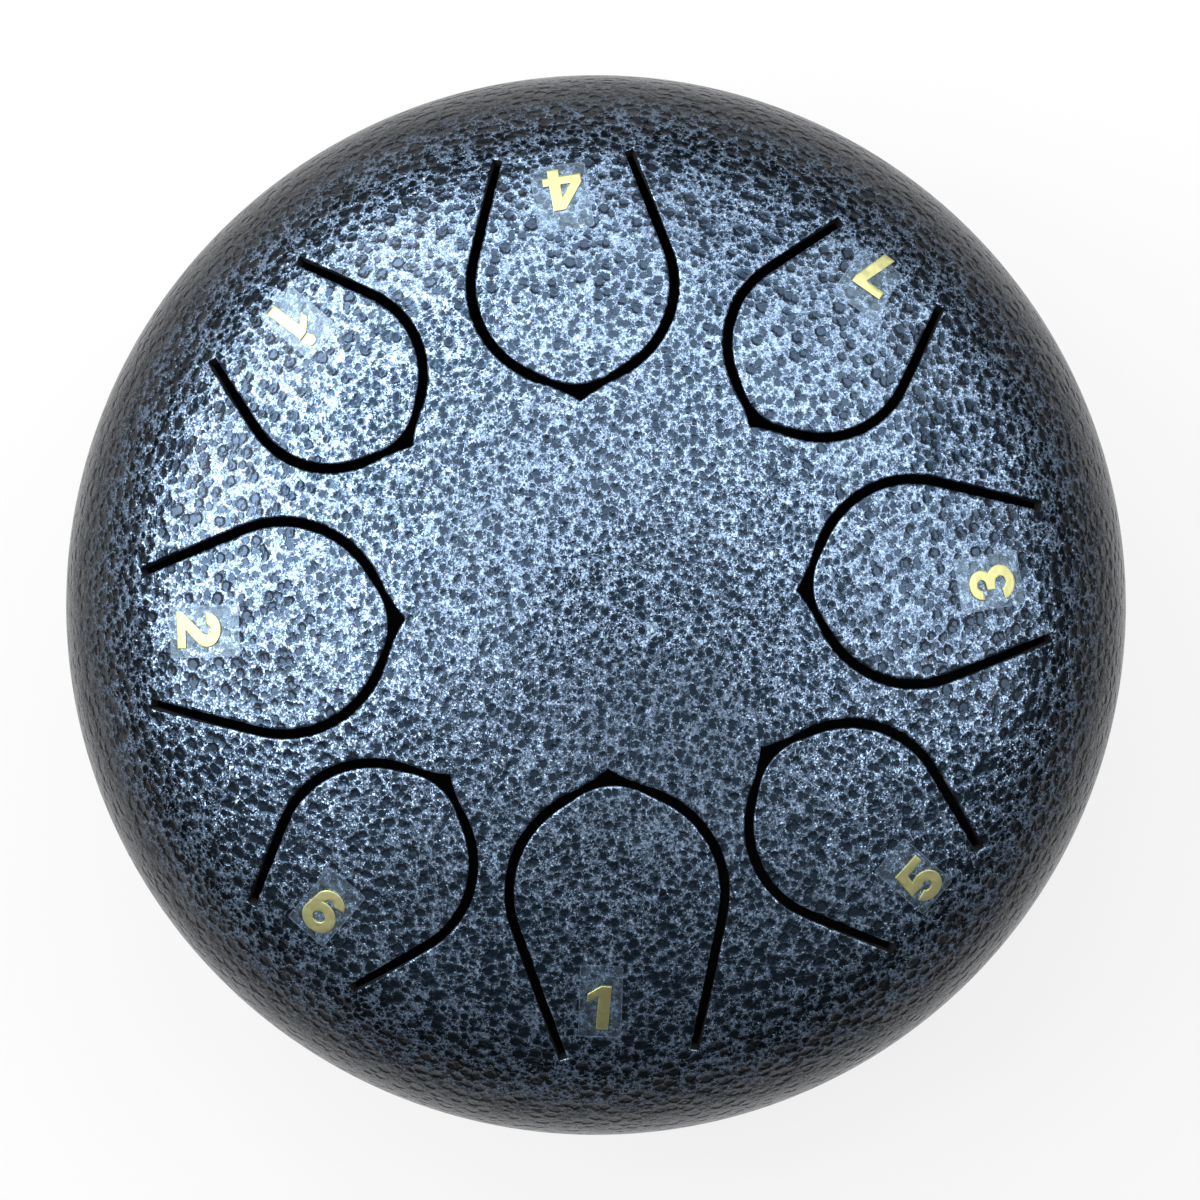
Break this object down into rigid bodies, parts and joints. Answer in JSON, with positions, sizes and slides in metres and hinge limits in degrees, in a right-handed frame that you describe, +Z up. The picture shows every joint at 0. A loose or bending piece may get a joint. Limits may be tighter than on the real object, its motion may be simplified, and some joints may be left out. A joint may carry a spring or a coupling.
{
  "type": "steel tongue drum",
  "caption": "Round steel tongue drum: two pressed, welded bowls in hammertone paint, leaf-shaped sprung tongues with gold note numerals, a sound hole and rubber feet.",
  "frame": {"origin": "on the floor under the feet, on the drum's vertical axis", "axes": "+Z up along the drum's axis, -Y towards tongue 1, the longest, and +X towards tongue 3"},
  "size_m": [0.155, 0.155, 0.084],
  "materials": {
    "hammertone_paint": "hammertone enamel: dark blue-black pits in a pale blue metallic flake",
    "clear_film": "clear glossy film label",
    "gold_foil": "polished gold-coloured metal numerals on the film labels",
    "black_rubber": "matt moulded rubber",
    "adhesive_foam": "matt adhesive foam, hidden under the feet"
  },
  "bodies": {
    "drum": {"top_shell": "hammertone_paint", "bottom_shell": "hammertone_paint", "seam_weld": "hammertone_paint", "foot_1": "black_rubber", "foot_adhesive_1": "adhesive_foam", "foot_2": "black_rubber", "foot_adhesive_2": "adhesive_foam", "foot_3": "black_rubber", "foot_adhesive_3": "adhesive_foam"},
    "tongue_1": {"tongue_1": "hammertone_paint", "note_label_1": "clear_film"},
    "tongue_2": {"tongue_2": "hammertone_paint", "note_label_2": "clear_film"},
    "tongue_3": {"tongue_3": "hammertone_paint", "note_label_3": "clear_film"},
    "tongue_4": {"tongue_4": "hammertone_paint", "note_label_4": "clear_film"},
    "tongue_5": {"tongue_5": "hammertone_paint", "note_label_5": "clear_film"},
    "tongue_6": {"tongue_6": "hammertone_paint", "note_label_6": "clear_film"},
    "tongue_7": {"tongue_7": "hammertone_paint", "note_label_7": "clear_film"},
    "tongue_1_high": {"tongue_1_high": "hammertone_paint", "note_label_1_high": "clear_film"}
  },
  "joints": [
    {"name": "tongue_1_flex", "type": "hinge", "parent": "drum", "child": "tongue_1", "pos_m": [0, -0.06313, 0.0658], "axis": [1, 0, 0], "range_deg": [-0.5, 0.5], "stiffness_Nm_per_rad": 0.8, "springref_deg": 0.16},
    {"name": "tongue_2_flex", "type": "hinge", "parent": "drum", "child": "tongue_2", "pos_m": [-0.06311, 0, 0.06582], "axis": [0, -1, 0], "range_deg": [-0.5, 0.5], "stiffness_Nm_per_rad": 0.8, "springref_deg": 0.12},
    {"name": "tongue_3_flex", "type": "hinge", "parent": "drum", "child": "tongue_3", "pos_m": [0.06312, 0, 0.06581], "axis": [0, 1, 0], "range_deg": [-0.5, 0.5], "stiffness_Nm_per_rad": 0.8, "springref_deg": 0.11},
    {"name": "tongue_4_flex", "type": "hinge", "parent": "drum", "child": "tongue_4", "pos_m": [0, 0.06312, 0.06581], "axis": [-1, 0, 0], "range_deg": [-0.5, 0.5], "stiffness_Nm_per_rad": 0.8, "springref_deg": 0.1},
    {"name": "tongue_5_flex", "type": "hinge", "parent": "drum", "child": "tongue_5", "pos_m": [0.04462, -0.04462, 0.06582], "axis": [0.7071, 0.7071, 0], "range_deg": [-0.5, 0.5], "stiffness_Nm_per_rad": 0.8, "springref_deg": 0.09},
    {"name": "tongue_6_flex", "type": "hinge", "parent": "drum", "child": "tongue_6", "pos_m": [-0.04462, -0.04462, 0.06582], "axis": [0.7071, -0.7071, 0], "range_deg": [-0.5, 0.5], "stiffness_Nm_per_rad": 0.8, "springref_deg": 0.08},
    {"name": "tongue_7_flex", "type": "hinge", "parent": "drum", "child": "tongue_7", "pos_m": [0.04465, 0.04465, 0.0658], "axis": [-0.7071, 0.7071, 0], "range_deg": [-0.5, 0.5], "stiffness_Nm_per_rad": 0.8, "springref_deg": 0.07},
    {"name": "tongue_1_high_flex", "type": "hinge", "parent": "drum", "child": "tongue_1_high", "pos_m": [-0.04464, 0.04464, 0.0658], "axis": [-0.7071, -0.7071, 0], "range_deg": [-0.5, 0.5], "stiffness_Nm_per_rad": 0.8, "springref_deg": 0.06}
  ]
}
